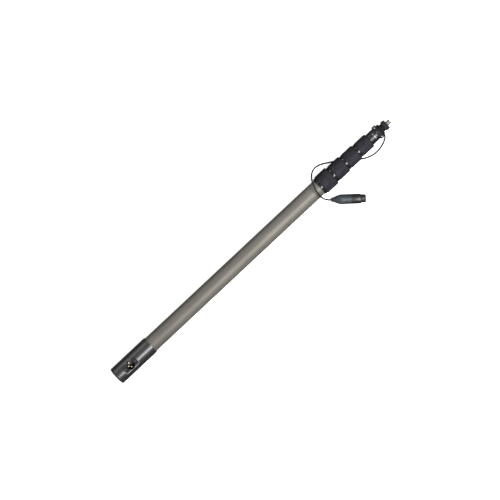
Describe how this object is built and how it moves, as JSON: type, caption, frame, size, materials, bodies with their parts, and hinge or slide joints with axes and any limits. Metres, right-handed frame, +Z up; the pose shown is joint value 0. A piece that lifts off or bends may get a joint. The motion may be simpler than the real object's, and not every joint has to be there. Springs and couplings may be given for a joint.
{
  "type": "boom pole",
  "caption": "Collapsed telescopic boom pole with twist-lock collars, an internal coiled cable, a three-pole socket in the butt and a short pigtail plug at the threaded tip.",
  "frame": {"origin": "on the surface that the pole lies on, under the middle of the collapsed pole's length", "axes": "+X along the pole from the butt to the threaded tip, +Z up, with the output socket facing +Z and the pigtail leaving the head towards -Y"},
  "size_m": [0.692, 0.115, 0.0457],
  "materials": {
    "tube_anodised": "satin titanium-grey anodising",
    "housing_anodised": "semi-gloss black anodising",
    "collar_anodised": "matt black anodising, knurled",
    "ferrule_gloss": "polished black anodising",
    "bush_plastic": "natural acetal",
    "insert_plastic": "moulded black",
    "boot_plastic": "moulded slate grey, ribbed",
    "plug_lacquer": "satin black lacquer on zinc",
    "seal_rubber": "matt",
    "cord_rubber": "satin cable jacket",
    "lead_plastic": "coloured wire insulation",
    "contact_gold": "gold plated",
    "bright_steel": "turned and nickel plated"
  },
  "bodies": {
    "butt": {"base_housing": "housing_anodised", "butt_cap": "housing_anodised", "socket_shell": "housing_anodised", "socket_insert": "insert_plastic", "socket_pins": "contact_gold", "socket_screws": "bright_steel", "grub_screws": "bright_steel", "cable_anchor": "bush_plastic", "socket_leads": "lead_plastic", "tube_1": "tube_anodised", "ferrule_1": "ferrule_gloss", "collet_1": "bush_plastic", "coil_1": "cord_rubber"},
    "section_2": {"tube_2": "tube_anodised", "guide_bush_2": "bush_plastic", "ferrule_2": "ferrule_gloss", "collet_2": "bush_plastic", "coil_2": "cord_rubber"},
    "section_3": {"tube_3": "tube_anodised", "guide_bush_3": "bush_plastic", "ferrule_3": "ferrule_gloss", "collet_3": "bush_plastic", "coil_3": "cord_rubber"},
    "section_4": {"tube_4": "tube_anodised", "guide_bush_4": "bush_plastic", "ferrule_4": "ferrule_gloss", "collet_4": "bush_plastic", "coil_4": "cord_rubber"},
    "section_5": {"tube_5": "tube_anodised", "guide_bush_5": "bush_plastic", "tip_sleeve": "housing_anodised", "cable_head": "housing_anodised", "clamp_upper": "housing_anodised", "clamp_lower": "housing_anodised", "clamp_screws": "bright_steel", "head_set_screw": "bright_steel", "stud_base": "housing_anodised", "mic_stud": "bright_steel", "cable_grommet": "seal_rubber", "inner_lead": "cord_rubber", "pigtail_cable": "cord_rubber", "plug_boot": "boot_plastic", "plug_chuck": "insert_plastic", "plug_lead": "cord_rubber", "plug_shell": "plug_lacquer", "plug_insert": "insert_plastic", "plug_contacts": "contact_gold"},
    "collar_1": {"lock_collar_1": "collar_anodised", "wiper_1": "seal_rubber"},
    "collar_2": {"lock_collar_2": "collar_anodised", "wiper_2": "seal_rubber"},
    "collar_3": {"lock_collar_3": "collar_anodised", "wiper_3": "seal_rubber"},
    "collar_4": {"lock_collar_4": "collar_anodised", "wiper_4": "seal_rubber"},
    "lock_nut": {"lock_nut": "collar_anodised"},
    "plug_latch": {"plug_latch": "plug_lacquer"}
  },
  "joints": [
    {"name": "section_2_slide", "type": "slide", "parent": "butt", "child": "section_2", "axis": [1, 0, 0], "range_m": [0, 0.392], "deforming": ["coil_1"]},
    {"name": "section_3_slide", "type": "slide", "parent": "section_2", "child": "section_3", "axis": [1, 0, 0], "range_m": [0, 0.392], "deforming": ["coil_2"]},
    {"name": "section_4_slide", "type": "slide", "parent": "section_3", "child": "section_4", "axis": [1, 0, 0], "range_m": [0, 0.392], "deforming": ["coil_3"]},
    {"name": "section_5_slide", "type": "slide", "parent": "section_4", "child": "section_5", "axis": [1, 0, 0], "range_m": [0, 0.392], "deforming": ["coil_4"]},
    {"name": "collar_1_twist", "type": "hinge", "parent": "butt", "child": "collar_1", "pos_m": [0.1853, 0, 0.0193], "axis": [1, 0, 0], "range_deg": [0, 150]},
    {"name": "collar_2_twist", "type": "hinge", "parent": "section_2", "child": "collar_2", "pos_m": [0.21705, 0, 0.0193], "axis": [1, 0, 0], "range_deg": [0, 150]},
    {"name": "collar_3_twist", "type": "hinge", "parent": "section_3", "child": "collar_3", "pos_m": [0.2488, 0, 0.0193], "axis": [1, 0, 0], "range_deg": [0, 150]},
    {"name": "collar_4_twist", "type": "hinge", "parent": "section_4", "child": "collar_4", "pos_m": [0.28055, 0, 0.0193], "axis": [1, 0, 0], "range_deg": [0, 150]},
    {"name": "lock_nut_turn", "type": "hinge", "parent": "section_5", "child": "lock_nut", "pos_m": [0.3336, 0, 0.0193], "axis": [1, 0, 0], "continuous": true},
    {"name": "plug_latch_press", "type": "slide", "parent": "section_5", "child": "plug_latch", "axis": [0, 0, -1], "range_m": [0, 0.001], "stiffness_N_per_m": 1500}
  ]
}
